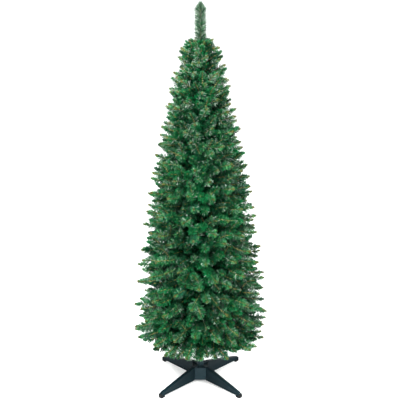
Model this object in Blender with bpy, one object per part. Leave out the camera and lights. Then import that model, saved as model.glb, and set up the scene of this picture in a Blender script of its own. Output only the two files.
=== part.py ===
"""A slim artificial fir Christmas tree on a four-legged plastic stand.

The tree is a stepped steel pole with wire branches of PVC needles bound on all the way up. It stands in
the socket of a moulded hub, and four legs plug into the hub's corners. Metres, +Z up. The origin is on the
floor under the pole, and the flat sides of the hub face along X and Y.
"""

import math
import random

import bmesh
import bpy
from mathutils import Matrix, Vector

# ---- Driving dimensions, in metres --------------------------------------------------------------------

TREE_HEIGHT = 1.500
TOUCHING_GAP = 0.0003  # pieces that rest on each other keep this much apart

# Crown: how far out its furthest tips reach at each height
CROWN_RADIUS = 0.266
WIDEST_HEIGHT = 0.240
SHOULDER_HEIGHT = 1.375
SHOULDER_RADIUS = 0.066
TAPER_POWER = 1.50  # over 1 makes the sides bulge a little between widest point and shoulder
SKIRT_CURVE = 7.5  # how fast the crown draws in below its widest point, per metre

# Branches leave the pole drooping at the foot of the crown and rising at its top
LOWEST_SLOPE = -0.555
SLOPE_GAIN = 0.980  # slope gained per metre of height on the pole

# Crown masses: each zone of the crown is cut into sectors round the pole and tiers up it
ZONE_LEVELS = (0.252, 0.930, 1.350)  # measured on the pole
ZONE_SECTORS = (6, 4)
ZONE_TIERS = (5, 3)
SPACE_MARGIN = 0.0015

# Sprigs: how many in all
SPRIG_COUNT = 262
SPRIG_THINNING = 1.12  # over 1 gives the top of the crown fewer sprigs for its height than the foot
SPRIG_SCATTER = 0.3  # how far chance moves a sprig's end, as a share of the spacing there
SPRIG_SEED = 12
GOLDEN_ANGLE = math.radians(137.508)

# Each is a slim core with needles standing out of it, larger than life because they are so few
NEEDLE_REACH = 0.018
NEEDLE_LEAN = 0.80  # forward lean of a needle, as a share of its reach
SPRIG_MARGIN = 0.014  # a sprig's centre line keeps this far inside its mass's sides
STEM_RADIUS = 0.0042
TWIG_RADIUS = 0.0027
STEM_BRUSH_RADIUS = 0.0150
BRUSH_ROOT_RADIUS = 0.0100
BRUSH_TIP_RADIUS = 0.0045
BRUSH_SEGMENT = 0.035  # length of core that carries one ring of three needles
BARE_STEM = 0.032  # distance from the pole's axis where a stem's first needles stand
CORE_TWIST = math.radians(38)
MOST_BRUSH = 3  # stretches of brush on a sprig that forks off a stem
FORK_SHARE = 0.62  # how far out a sprig forks that ends right beside its stem, as a share of its reach
BARE_SHARE = 0.20  # share of a side sprig that stays bare after its fork
END_REACH = 0.60  # reach of the last ring of needles, as a share of the full one
END_GAIN = 0.30  # what each ring before it gains
TIP_LENGTH = 0.012

# Leader: the upright sprig on top of the pole
LEADER_REACH = 0.019
LEADER_NEEDLES_FROM = 1.362
LEADER_STEPS = 9

# Pole: three lengths of tube, each narrower than the one that it stands in
POLE_TOP = 1.345
POLE_RADII = (0.0100, 0.0080, 0.0060)
POLE_JOINTS = (0.505, 0.955)
POLE_SWAGE = 0.012
POLE_WALL = 0.0012
POLE_SIDES = 12

# Stand
HUB_FACE_DISTANCE = 0.033
HUB_FACE_HALF_WIDTH = 0.0215
HUB_BOTTOM = 0.010
HUB_TOP = 0.064
HUB_WALL = 0.0026
HUB_FLOOR = 0.013
RIB_HALF_THICKNESS = 0.0042
SOCKET_RADIUS = 0.0135
SOCKET_TOP = 0.085
SOCKET_SIDES = 24
LEG_WIDTH = 0.016
LEG_END = 0.2175
LEG_BOTTOM = 0.008
LEG_ROOT_TOP = 0.066
LEG_END_TOP = 0.0215
LEG_NOSE = 0.006
LEG_RIM = 0.0045
LEG_RECESS = 0.0040
TONGUE_INSET = 0.0055
TONGUE_DEPTH = 0.010
FOOT_REACH = 0.2235
FOOT_LENGTH = 0.021
FOOT_WIDTH = 0.018
FOOT_LIP_TOP = 0.0165
FOOT_CORNER = 0.003

HUB_CORNER = (HUB_FACE_DISTANCE + HUB_FACE_HALF_WIDTH) / math.sqrt(2)
LEG_ROOT = HUB_CORNER + TOUCHING_GAP


# ---- Materials ----------------------------------------------------------------------------------------


def make_material(name, colour, roughness, metallic=0.0):
    material = bpy.data.materials.new(name)
    material.use_nodes = True
    shader = material.node_tree.nodes["Principled BSDF"]
    shader.inputs["Base Color"].default_value = (*colour, 1.0)
    shader.inputs["Roughness"].default_value = roughness
    shader.inputs["Metallic"].default_value = metallic
    material.diffuse_color = (*colour, 1.0)
    return material


# ---- Small helpers ------------------------------------------------------------------------------------


def object_from(bm, name, material=None):
    """Turns a finished bmesh into an object in the scene, with its faces pointing out."""
    bmesh.ops.recalc_face_normals(bm, faces=bm.faces)
    mesh = bpy.data.meshes.new(name)
    bm.to_mesh(mesh)
    bm.free()
    made = bpy.data.objects.new(name, mesh)
    bpy.context.scene.collection.objects.link(made)
    if material:
        mesh.materials.append(material)
    return made


def grow_face(bm, face):
    """Extrudes a face and returns the one at the new end. A lone face stays behind, as a cap."""
    grown = bmesh.ops.extrude_face_region(bm, geom=[face])
    end = next(part for part in grown["geom"] if isinstance(part, bmesh.types.BMFace))
    if len(face.edges[0].link_faces) > 2:
        bmesh.ops.delete(bm, geom=[face], context="FACES_ONLY")
    return end


def extruded(points, along):
    """A bar with closed ends: the flat outline through these points, carried along a vector."""
    bm = bmesh.new()
    end = grow_face(bm, bm.faces.new([bm.verts.new(point) for point in points]))
    bmesh.ops.translate(bm, verts=end.verts, vec=along)
    bmesh.ops.recalc_face_normals(bm, faces=bm.faces)
    return bm


def prism(outline, low, high):
    """An upright bar over a flat outline of (x, y) points."""
    return extruded([(x, y, low) for x, y in outline], (0, 0, high - low))


def round_bar(radius, low, high):
    bm = bmesh.new()
    middle = Matrix.Translation((0, 0, (low + high) / 2))
    bmesh.ops.create_cone(bm, cap_ends=True, segments=SOCKET_SIDES, radius1=radius, radius2=radius,
                          depth=high - low, matrix=middle)
    return bm


def evenly(low, high, steps):
    """The two values given and those that cut the stretch between them into even steps."""
    return [low + (high - low) * step / steps for step in range(steps + 1)]


def as_helper(made):
    """Marks an object as a cutter or a piece to be joined, which isn't a part of the tree itself."""
    made.hide_render = True
    made.display_type = "WIRE"
    return made


def add_boolean(target, operation, other):
    modifier = target.modifiers.new(f"{operation.lower()} {other.name}", "BOOLEAN")
    modifier.operation = operation
    modifier.solver = "EXACT"
    modifier.object = other


def apply_modifiers(made):
    """Replaces an object's mesh by what its modifiers make of it."""
    graph = bpy.context.evaluated_depsgraph_get()
    finished = bpy.data.meshes.new_from_object(made.evaluated_get(graph))
    made.modifiers.clear()
    made.data = finished


# ---- Stand --------------------------------------------------------------------------------------------


def turned(outline, quarter):
    """The outline turned round the pole's axis by a number of quarter turns."""
    for _ in range(quarter):
        outline = [(-y, x) for x, y in outline]
    return outline


def make_hub(material):
    """An eight-sided cup with a tube socket in its middle, held by four ribs that the legs plug into."""
    near, far = HUB_FACE_HALF_WIDTH, HUB_FACE_DISTANCE
    corner_pair = [(near, far), (-near, far)]
    outline = [point for quarter in range(4) for point in turned(corner_pair, quarter)]
    hub = object_from(prism(outline, HUB_BOTTOM, HUB_TOP), "stand_hub", material)

    # one open pocket behind each flat side, between two ribs
    rib = RIB_HALF_THICKNESS * math.sqrt(2)
    half, back = near - HUB_WALL, far - HUB_WALL
    pocket = [(half, back), (-half, back), (-half, half + rib), (0, rib), (half, half + rib)]
    for quarter in range(4):
        cut = prism(turned(pocket, quarter), HUB_FLOOR + HUB_WALL, 2 * HUB_TOP)
        add_boolean(hub, "DIFFERENCE", as_helper(object_from(cut, f"pocket_{quarter}")))

    socket = object_from(round_bar(SOCKET_RADIUS, HUB_FLOOR, SOCKET_TOP), "socket_tube")
    add_boolean(hub, "UNION", as_helper(socket))
    bore = object_from(round_bar(POLE_RADII[0] + TOUCHING_GAP, HUB_FLOOR, 2 * SOCKET_TOP), "socket_bore")
    add_boolean(hub, "DIFFERENCE", as_helper(bore))

    # a slot in each corner, open below, for the tongue of a leg
    slot_half = LEG_WIDTH / 2 - TONGUE_INSET + TOUCHING_GAP
    slot_top = LEG_ROOT_TOP - TONGUE_INSET + TOUCHING_GAP
    slot_back = LEG_ROOT - TONGUE_DEPTH - TOUCHING_GAP
    slot_front = 2 * HUB_CORNER
    slot = [(slot_back, -slot_half), (slot_front, -slot_half), (slot_front, slot_half), (slot_back, slot_half)]
    for index, angle in enumerate(leg_angles()):
        cutter = object_from(prism(slot, -HUB_TOP, slot_top), f"slot_{index}")
        cutter.matrix_world = Matrix.Rotation(angle, 4, "Z")
        add_boolean(hub, "DIFFERENCE", as_helper(cutter))
    return hub


def leg_angles():
    return [math.radians(45 + 90 * index) for index in range(4)]


def make_leg(name, angle, material):
    """A tapered beam with a raised rim round each side and a tongue that slides into the hub."""
    side = [
        (LEG_ROOT, LEG_BOTTOM),
        (LEG_END, LEG_BOTTOM),
        (LEG_END, LEG_END_TOP - LEG_NOSE),
        (LEG_END - LEG_NOSE, LEG_END_TOP),
        (LEG_ROOT, LEG_ROOT_TOP),
    ]
    bm = extruded([(along, -LEG_WIDTH / 2, up) for along, up in side], (0, LEG_WIDTH, 0))
    sides = [face for face in bm.faces if abs(face.normal.y) > 0.99]
    root = next(face for face in bm.faces if face.normal.x < -0.99)
    for panel in sides:
        bmesh.ops.inset_region(bm, faces=[panel], thickness=LEG_RIM, depth=-LEG_RECESS, use_even_offset=True)
    bmesh.ops.inset_region(bm, faces=[root], thickness=TONGUE_INSET, use_even_offset=True)
    tongue = grow_face(bm, root)
    bmesh.ops.translate(bm, verts=tongue.verts, vec=(-TONGUE_DEPTH, 0, 0))

    leg = object_from(bm, name, material)
    leg.rotation_euler = (0, 0, angle)
    return leg


def make_foot(name, angle, material):
    """A soft boot under the end of a leg, with a lip that stands up against the end."""
    lip = LEG_END + TOUCHING_GAP
    tread_top = LEG_BOTTOM - TOUCHING_GAP
    side = [
        (FOOT_REACH - FOOT_LENGTH, 0),
        (FOOT_REACH, 0),
        (FOOT_REACH, FOOT_LIP_TOP),
        (lip, FOOT_LIP_TOP),
        (lip, tread_top),
        (FOOT_REACH - FOOT_LENGTH, tread_top),
    ]
    bm = extruded([(along, -FOOT_WIDTH / 2, up) for along, up in side], (0, FOOT_WIDTH, 0))
    corners = [edge for edge in bm.edges if is_outer_corner(edge)]
    bmesh.ops.bevel(bm, geom=corners, offset=FOOT_CORNER, segments=2, profile=0.5, affect="EDGES")
    foot = object_from(bm, name, material)
    foot.rotation_euler = (0, 0, angle)
    return foot


def is_outer_corner(edge):
    """True for the upright edges at the boot's two ends."""
    first, second = (vert.co for vert in edge.verts)
    upright = abs(first.x - second.x) < 1e-6 and abs(first.y - second.y) < 1e-6
    at_an_end = abs(first.x - FOOT_REACH) < 1e-6 or abs(first.x - FOOT_REACH + FOOT_LENGTH) < 1e-6
    return upright and at_an_end


# ---- Pole ---------------------------------------------------------------------------------------------


def pole_radius(height):
    """Outer radius of the pole at this height."""
    radius = POLE_RADII[0]
    for joint, narrower in zip(POLE_JOINTS, POLE_RADII[1:]):
        swaged = min(1.0, max(0.0, (height - joint) / POLE_SWAGE))
        radius -= swaged * (radius - narrower)
    return radius


def make_pole(material):
    """Three tubes in one, open below and capped on top, spun from a profile of its outside and its inside."""
    foot = HUB_FLOOR + TOUCHING_GAP
    low, middle, top = POLE_RADII
    first, second = POLE_JOINTS
    outside = [
        (low, foot),
        (low, first),
        (middle, first + POLE_SWAGE),
        (middle, second),
        (top, second + POLE_SWAGE),
        (top, POLE_TOP - top / 2),
        (top / 2, POLE_TOP),
    ]
    inside = [
        (top - POLE_WALL, POLE_TOP - top),
        (top - POLE_WALL, second + POLE_SWAGE),
        (middle - POLE_WALL, second),
        (middle - POLE_WALL, first + POLE_SWAGE),
        (low - POLE_WALL, first),
        (low - POLE_WALL, foot),
    ]
    profile = [*outside, (0, POLE_TOP), (0, POLE_TOP - top), *inside, outside[0]]
    bm = bmesh.new()
    verts = [bm.verts.new((radius, 0, height)) for radius, height in profile]
    edges = [bm.edges.new(pair) for pair in zip(verts, verts[1:])]
    bmesh.ops.spin(bm, geom=verts + edges, cent=(0, 0, 0), axis=(0, 0, 1), angle=2 * math.pi,
                   steps=POLE_SIDES, use_merge=True, use_duplicate=False)
    bmesh.ops.remove_doubles(bm, verts=bm.verts, dist=1e-6)
    pole = object_from(bm, "pole", material)
    pole.data.shade_smooth()
    pole.data.set_sharp_from_angle(angle=math.radians(35))
    return pole


# ---- Shape of the crown -------------------------------------------------------------------------------


def crown_radius(height):
    """How far the furthest tips reach from the pole's axis at this height."""
    if height < WIDEST_HEIGHT:
        return CROWN_RADIUS - SKIRT_CURVE * (WIDEST_HEIGHT - height) ** 2
    rise = min(1.0, (height - WIDEST_HEIGHT) / (SHOULDER_HEIGHT - WIDEST_HEIGHT))
    return SHOULDER_RADIUS + (CROWN_RADIUS - SHOULDER_RADIUS) * (1 - rise**TAPER_POWER)


def flow_slope(root):
    """Slope of the branches that leave the pole at this height."""
    return LOWEST_SLOPE + SLOPE_GAIN * root


def flow_root(radius, height):
    """Height on the pole that a branch through this point comes from: flow_slope turned round."""
    return (height - radius * LOWEST_SLOPE) / (1 + radius * SLOPE_GAIN)


def flow_point(azimuth, root, radius):
    """The point at this distance from the axis on the branch that leaves the pole at root."""
    height = root + radius * flow_slope(root)
    return Vector((radius * math.cos(azimuth), radius * math.sin(azimuth), height))


def tip_radius(root):
    """Where a branch from this height on the pole meets the outside of the crown."""
    radius = CROWN_RADIUS
    for _ in range(40):
        radius = (radius + crown_radius(root + radius * flow_slope(root))) / 2
    return radius


class Space:
    """The part of the crown that one mass of needles keeps to: a sector of one tier."""

    def __init__(self, azimuth, half_angle, low, high):
        self.azimuth = azimuth
        self.half_angle = half_angle
        self.low = low
        self.high = high

    def holds(self, point):
        radius = math.hypot(point.x, point.y)
        turn = math.remainder(math.atan2(point.y, point.x) - self.azimuth, 2 * math.pi)
        beside = radius * math.sin(min(math.pi / 2, self.half_angle - abs(turn)))
        root = flow_root(radius, point.z)
        return (
            beside > SPACE_MARGIN
            and self.low + SPACE_MARGIN < root < self.high - SPACE_MARGIN
            and radius > pole_radius(point.z) + 2 * SPACE_MARGIN
        )


def spaces():
    """Yields the name and space of every mass, zone by zone from the foot of the crown up.

    Every other sector is cut half a tier higher than its neighbours, so no cut runs right round the crown. One
    sector of each zone faces -Y.
    """
    count = 0
    for zone, (sectors, tiers) in enumerate(zip(ZONE_SECTORS, ZONE_TIERS)):
        low, high = ZONE_LEVELS[zone : zone + 2]
        cuts = evenly(low, high, tiers)
        half_step = (high - low) / tiers / 2
        for sector in range(sectors):
            azimuth = 2 * math.pi * sector / sectors - math.pi / 2
            levels = [low, *[cut + half_step for cut in cuts[:-1]], high] if sector % 2 else cuts
            for foot, top in zip(levels, levels[1:]):
                count += 1
                yield f"needles_{count:02}", Space(azimuth, math.pi / sectors, foot, top)


def sprig_ends():
    """Spreads the ends of all sprigs evenly over the crown: (azimuth, height on the pole) of each.

    Each is a golden angle on from the last and a little higher, then moved a short way by seeded chance.
    """
    dice = random.Random(SPRIG_SEED)
    crown = ZONE_LEVELS[-1] - ZONE_LEVELS[0]
    ends = []
    for index in range(SPRIG_COUNT):
        share = (index + 0.5) / SPRIG_COUNT
        root = ZONE_LEVELS[0] + crown * share**SPRIG_THINNING
        step = crown * SPRIG_THINNING * share ** (SPRIG_THINNING - 1) / SPRIG_COUNT
        reach = tip_radius(root)
        apart = math.sqrt(2 * math.pi * reach * step)
        azimuth = index * GOLDEN_ANGLE + dice.uniform(-SPRIG_SCATTER, SPRIG_SCATTER) * apart / reach
        ends.append((azimuth, root + dice.uniform(-SPRIG_SCATTER, SPRIG_SCATTER) * apart))
    return ends


def ends_in(space, ends):
    """The sprig ends that belong to a space, nearest its middle first.

    Each is (turn from the middle, height on the pole). One close to the space's side is moved in, so that its
    needles have room.
    """
    middle = (space.low + space.high) / 2
    reach = tip_radius(middle)
    found = []
    for azimuth, root in ends:
        turn = math.remainder(azimuth - space.azimuth, 2 * math.pi)
        if abs(turn) < space.half_angle and space.low <= root < space.high:
            most = space.half_angle - SPRIG_MARGIN / reach
            turn = max(-most, min(most, turn))
            root = max(space.low + SPRIG_MARGIN, min(space.high - SPRIG_MARGIN, root))
            found.append((turn, root))
    return sorted(found, key=lambda end: math.hypot(end[0] * reach, end[1] - middle))


# ---- Sprigs of needles --------------------------------------------------------------------------------


def frames_along(path, radii, phase, root_faces):
    """One matrix for each ring of a core: origin on the path, Z along it, scaled to the ring's radius.

    The root ring faces its own way where root_faces gives one, so that a stem's end lies flat to the pole.
    """
    frames = []
    for index, (point, radius) in enumerate(zip(path, radii)):
        ahead = path[min(index + 1, len(path) - 1)] - path[max(index - 1, 0)]
        forward = root_faces if root_faces and index == 0 else ahead.normalized()
        side = side - side.dot(forward) * forward if index else forward.orthogonal()
        side.normalize()
        other = forward.cross(side)
        basis = Matrix((side, other, forward)).transposed().to_4x4()
        turn = Matrix.Rotation(phase + CORE_TWIST * index, 4, "Z")
        frames.append(Matrix.Translation(point) @ basis @ turn @ Matrix.Scale(radius, 4))
    return frames


def needle_brush(name, path, radii, reaches, space, phase, root_faces=None):
    """A three-sided core along path, drawn out to a point, with needles standing out of its sides.

    reaches holds one number for each stretch of core: how far its three needles stand out, or 0 where the
    core is bare. A needle that would leave the space is made shorter, or skipped.
    """
    frames = frames_along(path, radii, phase, root_faces)
    bm = bmesh.new()
    bmesh.ops.create_circle(bm, cap_ends=True, radius=1.0, segments=3, matrix=frames[0])
    end = bm.faces[:][0]
    quads = []
    for index, (old, new) in enumerate(zip(frames, frames[1:])):
        end = grow_face(bm, end)
        bmesh.ops.transform(bm, matrix=new @ old.inverted(), verts=end.verts)
        quads += [(index, face) for face in {f for v in end.verts for f in v.link_faces} if face is not end]

    forward = (path[-1] - path[-2]).normalized()
    tip = bmesh.ops.poke(bm, faces=[end])["verts"][0]
    tip.co = path[-1] + forward * TIP_LENGTH

    quads.sort(key=lambda pair: (pair[0], *pair[1].calc_center_median()))
    for index, face in quads:
        centre = face.calc_center_median()
        middle = (path[index] + path[index + 1]) / 2
        along = (path[index + 1] - path[index]).normalized()
        out = centre - middle
        out = (out - out.dot(along) * along).normalized()
        for share in (1.0, 0.75, 0.5):
            reach = reaches[index] * share
            point = centre + (out + along * NEEDLE_LEAN) * reach
            if reach and space.holds(point):
                needle = bmesh.ops.poke(bm, faces=[face])["verts"][0]
                needle.co = point
                break
    return object_from(bm, name)


def tip_needles(steps):
    """Reach of the needles on each stretch of brush. They shorten towards the end, so a sprig is pointed."""
    return [NEEDLE_REACH * min(1.0, END_REACH + END_GAIN * (steps - 1 - index)) for index in range(steps)]


def route(space, start, from_radius, end, to_radius, radii):
    """Points at these distances from the pole's axis, on a curve that bends away from start to end."""
    points = []
    for radius in radii:
        bend = 1 - (1 - (radius - from_radius) / (to_radius - from_radius)) ** 3
        turn = start[0] + (end[0] - start[0]) * bend
        root = start[1] + (end[1] - start[1]) * bend
        points.append(flow_point(space.azimuth + turn, root, radius))
    return points


def make_stem(space, name, end, phase):
    """The branch's own stem, from the pole through the middle of its space, with needles most of the way.

    It comes with what a side sprig needs to find it: the ends of its route.
    """
    start = (0.0, (space.low + space.high) / 2)
    height = flow_point(0, start[1], POLE_RADII[0]).z
    pole_side = pole_radius(height - STEM_RADIUS) + TOUCHING_GAP
    reach = tip_radius(end[1]) - TIP_LENGTH
    steps = max(2, round((reach - BARE_STEM) / BRUSH_SEGMENT))
    radii = [pole_side, *evenly(BARE_STEM, reach, steps)]
    path = route(space, start, pole_side, end, reach, radii)
    cores = [STEM_RADIUS, *evenly(STEM_BRUSH_RADIUS, BRUSH_TIP_RADIUS, steps)]
    outward = Vector((math.cos(space.azimuth), math.sin(space.azimuth), 0))
    brush = needle_brush(name, path, cores, [0.0, *tip_needles(steps)], space, phase, outward)
    return brush, (start, pole_side, end, reach)


def make_side_sprig(space, name, stem, end, phase):
    """A sprig that forks off the stem, bends out to its own direction and ends where it's asked to."""
    stem_end, stem_reach = stem[2:]
    reach = tip_radius(end[1]) - TIP_LENGTH
    aside = math.hypot((end[0] - stem_end[0]) * reach, end[1] - stem_end[1]) / reach
    fork = max(BARE_STEM, min(reach, stem_reach) * FORK_SHARE * (1 - aside))
    low = max(reach - MOST_BRUSH * BRUSH_SEGMENT, fork + BARE_SHARE * (reach - fork))
    steps = max(2, round((reach - low) / BRUSH_SEGMENT))
    [start] = route(space, *stem, [fork])
    path = route(space, turn_and_root(space, start), fork, end, reach, [fork, *evenly(low, reach, steps)])
    cores = [TWIG_RADIUS, *evenly(BRUSH_ROOT_RADIUS, BRUSH_TIP_RADIUS, steps)]
    return needle_brush(name, path, cores, [0.0, *tip_needles(steps)], space, phase)


def turn_and_root(space, point):
    """The turn from the middle of the space, and the height on the pole, of the branch through this point."""
    turn = math.remainder(math.atan2(point.y, point.x) - space.azimuth, 2 * math.pi)
    return turn, flow_root(math.hypot(point.x, point.y), point.z)


def keep_outer_body(made):
    """Drops loose scraps and fills sealed hollows: every shell goes but the one with the most surface."""
    bm = bmesh.new()
    bm.from_mesh(made.data)
    bmesh.ops.triangulate(bm, faces=bm.faces)
    left, shells = set(bm.faces), []
    while left:
        shell, edge_of_shell = set(), [left.pop()]
        while edge_of_shell:
            face = edge_of_shell.pop()
            shell.add(face)
            plain = [edge for edge in face.edges if len(edge.link_faces) == 2]
            around = {other for edge in plain for other in edge.link_faces} & left
            left -= around
            edge_of_shell += around
        shells.append(shell)
    largest = max(shells, key=lambda shell: sum(face.calc_area() for face in shell))
    scraps = [face for shell in shells if shell is not largest for face in shell]
    bmesh.ops.delete(bm, geom=scraps, context="FACES")
    bm.to_mesh(made.data)
    bm.free()


def make_mass(name, space, ends, material):
    """One branch with all its sprigs, joined into one solid."""
    dice = random.Random(name)
    own_end, *side_ends = ends_in(space, ends)
    mass, stem = make_stem(space, name, own_end, dice.uniform(0, math.pi))
    twigs = bpy.data.collections.new(f"{name}_twigs")
    bpy.context.scene.collection.children.link(twigs)
    for index, end in enumerate(side_ends):
        sprig = make_side_sprig(space, f"{name}_{index}", stem, end, dice.uniform(0, math.pi))
        bpy.context.scene.collection.objects.unlink(sprig)
        twigs.objects.link(sprig)

    union = mass.modifiers.new("join the twigs", "BOOLEAN")
    union.operation = "UNION"
    union.solver = "EXACT"
    union.operand_type = "COLLECTION"
    union.collection = twigs
    apply_modifiers(mass)
    keep_outer_body(mass)
    for sprig in list(twigs.objects):
        bpy.data.objects.remove(sprig)
    bpy.data.collections.remove(twigs)
    mass.data.materials.clear()
    mass.data.materials.append(material)
    return mass


class AbovePole:
    """The space of the leader: whatever lies above the top tier of branches."""

    def holds(self, point):
        return flow_root(math.hypot(point.x, point.y), point.z) > ZONE_LEVELS[-1] + SPACE_MARGIN


def make_leader(material):
    """The sprig that stands upright on the pole's top."""
    heights = evenly(LEADER_NEEDLES_FROM, TREE_HEIGHT - TIP_LENGTH, LEADER_STEPS)
    path = [Vector((0, 0, height)) for height in (POLE_TOP + TOUCHING_GAP, *heights)]
    cores = [STEM_RADIUS, *evenly(BRUSH_ROOT_RADIUS, BRUSH_TIP_RADIUS, LEADER_STEPS)]
    reaches = [0.0] + [LEADER_REACH * min(1.0, 0.4 + 0.2 * left) for left in reversed(range(LEADER_STEPS))]
    leader = needle_brush("top_leader", path, cores, reaches, AbovePole(), 0.0)
    leader.data.materials.append(material)
    return leader


# ---- The tree -----------------------------------------------------------------------------------------


def clear_scene():
    for old in list(bpy.data.objects):
        bpy.data.objects.remove(old)


def main():
    clear_scene()
    stand_plastic = make_material("moulded dark grey plastic", (0.030, 0.052, 0.062), 0.55)
    foot_plastic = make_material("soft black plastic", (0.006, 0.007, 0.008), 0.60)
    pole_paint = make_material("green painted steel", (0.010, 0.060, 0.028), 0.45)
    needle_film = make_material("green needle film", (0.012, 0.085, 0.035), 0.45)

    stand = bpy.data.objects.new("stand", None)
    tree = bpy.data.objects.new("tree", None)
    for empty in (stand, tree):
        bpy.context.scene.collection.objects.link(empty)

    make_hub(stand_plastic).parent = stand
    for index, angle in enumerate(leg_angles()):
        make_leg(f"stand_leg_{index + 1}", angle, stand_plastic).parent = stand
        make_foot(f"stand_foot_{index + 1}", angle, foot_plastic).parent = stand

    make_pole(pole_paint).parent = tree
    make_leader(needle_film).parent = tree
    ends = sprig_ends()
    for name, space in spaces():
        make_mass(name, space, ends, needle_film).parent = tree


main()
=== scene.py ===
"""The looks of a slim artificial fir Christmas tree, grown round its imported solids.

Branches of twisted wire leave a stepped steel pole, wound all the way with needles cut from green film. The
pole stands in the socket of a moulded hub, and four legs with soft boots plug into the hub's corners.
Metres, +Z up. The origin is on the floor under the pole, and the flat sides of the hub face along X and Y.
"""

import math
import random
from typing import NamedTuple

import bmesh
import bpy
import numpy as np
from bpy.props import FloatProperty, FloatVectorProperty, IntProperty, PointerProperty
from mathutils import Matrix, Vector


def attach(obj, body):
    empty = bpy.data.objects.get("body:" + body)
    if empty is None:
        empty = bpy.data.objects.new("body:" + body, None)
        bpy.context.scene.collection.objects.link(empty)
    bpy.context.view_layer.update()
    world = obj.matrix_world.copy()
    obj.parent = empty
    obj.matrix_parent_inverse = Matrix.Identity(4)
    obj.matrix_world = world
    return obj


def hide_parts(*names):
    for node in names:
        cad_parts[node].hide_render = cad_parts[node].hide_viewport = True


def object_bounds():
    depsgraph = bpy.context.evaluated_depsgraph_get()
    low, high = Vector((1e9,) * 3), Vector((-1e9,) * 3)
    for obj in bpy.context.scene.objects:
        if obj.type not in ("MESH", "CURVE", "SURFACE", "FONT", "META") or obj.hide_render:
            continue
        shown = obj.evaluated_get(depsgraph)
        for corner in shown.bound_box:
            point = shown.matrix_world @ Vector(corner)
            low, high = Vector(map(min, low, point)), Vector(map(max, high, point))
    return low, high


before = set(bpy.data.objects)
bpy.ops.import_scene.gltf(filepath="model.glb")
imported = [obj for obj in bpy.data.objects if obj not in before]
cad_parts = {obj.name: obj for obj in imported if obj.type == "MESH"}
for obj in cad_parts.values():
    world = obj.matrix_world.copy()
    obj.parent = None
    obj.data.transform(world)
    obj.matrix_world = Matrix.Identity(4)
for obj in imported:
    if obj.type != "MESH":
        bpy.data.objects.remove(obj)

bl_info = {
    "name": "Slim artificial fir",
    "version": (1, 0, 0),
    "blender": (4, 5, 0),
    "location": "3D View > Sidebar > Slim Fir",
    "description": "Dresses a slim artificial fir: wire branches, film needles, pole and stand",
    "category": "Object",
}

CAD_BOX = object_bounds()
TREE_HEIGHT = CAD_BOX[1].z
BODY = "root"

# ---- Growth rule of the crown: the one that its solids follow ----

TOUCHING_GAP = 0.0003  # pieces that rest on each other keep this much apart

# How far out the furthest tips reach at each height
CROWN_RADIUS = 0.266
WIDEST_HEIGHT = 0.240
SHOULDER_HEIGHT = 1.375
SHOULDER_RADIUS = 0.066
TAPER_POWER = 1.50  # over 1 makes the sides bulge a little between the widest point and the shoulder
SKIRT_CURVE = 7.5  # how fast the crown draws in below its widest point, per metre

# Branches leave the pole drooping at the foot of the crown and rising at its top
LOWEST_SLOPE = -0.555
SLOPE_GAIN = 0.980  # slope gained per metre of height on the pole
SETTLING_ROUNDS = 40  # of the search for the point where a branch meets the outside of the crown

# Masses: each zone of the crown is cut into sectors round the pole and tiers up it
ZONE_LEVELS = (0.252, 0.930, 1.350)  # measured on the pole
ZONE_SECTORS = (6, 4)
ZONE_TIERS = (5, 3)

# Sprigs
SPRIG_COUNT = 262
SPRIG_THINNING = 1.12  # over 1 gives the top of the crown fewer sprigs for its height than the foot
SPRIG_SCATTER = 0.3  # how far chance moves a sprig's end, as a share of the spacing there
SPRIG_SEED = 12
GOLDEN_ANGLE = math.radians(137.508)
BARE_STEM = 0.032  # distance from the pole's axis where a stem's first needles stand
FORK_SHARE = 0.62  # how far out a sprig forks that ends right beside its stem, as a share of its reach
BEND_POWER = 3  # how early a sprig turns to its own direction after the fork
TIP_LENGTH = 0.003  # how far inside the crown's outline a sprig's wire ends
PATH_STEP = 0.006  # distance between two points of a wire's centre line
LEAST_PATH_POINTS = 6

# Wires sag between the pole and their end, so that the end itself turns up, most at the foot of the crown
LOWEST_UPTURN = 0.40
UPTURN_LOSS = 0.45  # per metre of height on the pole
LOWEST_TIP = 0.210  # sprigs that would end lower are bent up
HIGHEST_TIP = 1.364  # sprigs that would end higher are bent down
TOP_APEX = 1.432  # and none ends outside a cone that hangs from this height on the pole
TOP_SPREAD = 0.76  # how fast that cone widens

# Finer twigs, which fork off a sprig and stay inside its reach
FINE_FORK = (0.30, 0.50)  # where they fork off, as a share of the sprig's length
FINE_REACH = (0.80, 0.97)  # how far out they end, as a share of the sprig's reach
FINE_SPREAD = 0.042  # how far beside the sprig's own end they end
FINE_CHOICES = 10  # ends that are tried, of which the one in the widest gap is taken
FINE_GAPS = (0.0, 0.038)  # the first one fills any gap, and the second a gap at least this wide
LEAST_FINE_REACH = 0.10  # sprigs that reach less far carry none

# Inner twigs, which leave the pole between the stems and fill the middle of the crown
INNER_SPACING = 0.0315  # how far apart they stand halfway out
INNER_REACH = (0.52, 0.92)  # how far out they end, as a share of the crown's reach
INNER_COARSENESS = 2.3  # how much wider their needles are and how much further apart they stand
INNER_BARE = 0.014
INNER_MARGIN = 0.014  # how far they keep inside the sides of their mass
FOOT_CROWDING = 1.8  # the lowest masses have this many times as many of them
GOLDEN_SHARE = 0.618034

# ---- Needles and wires ----

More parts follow.
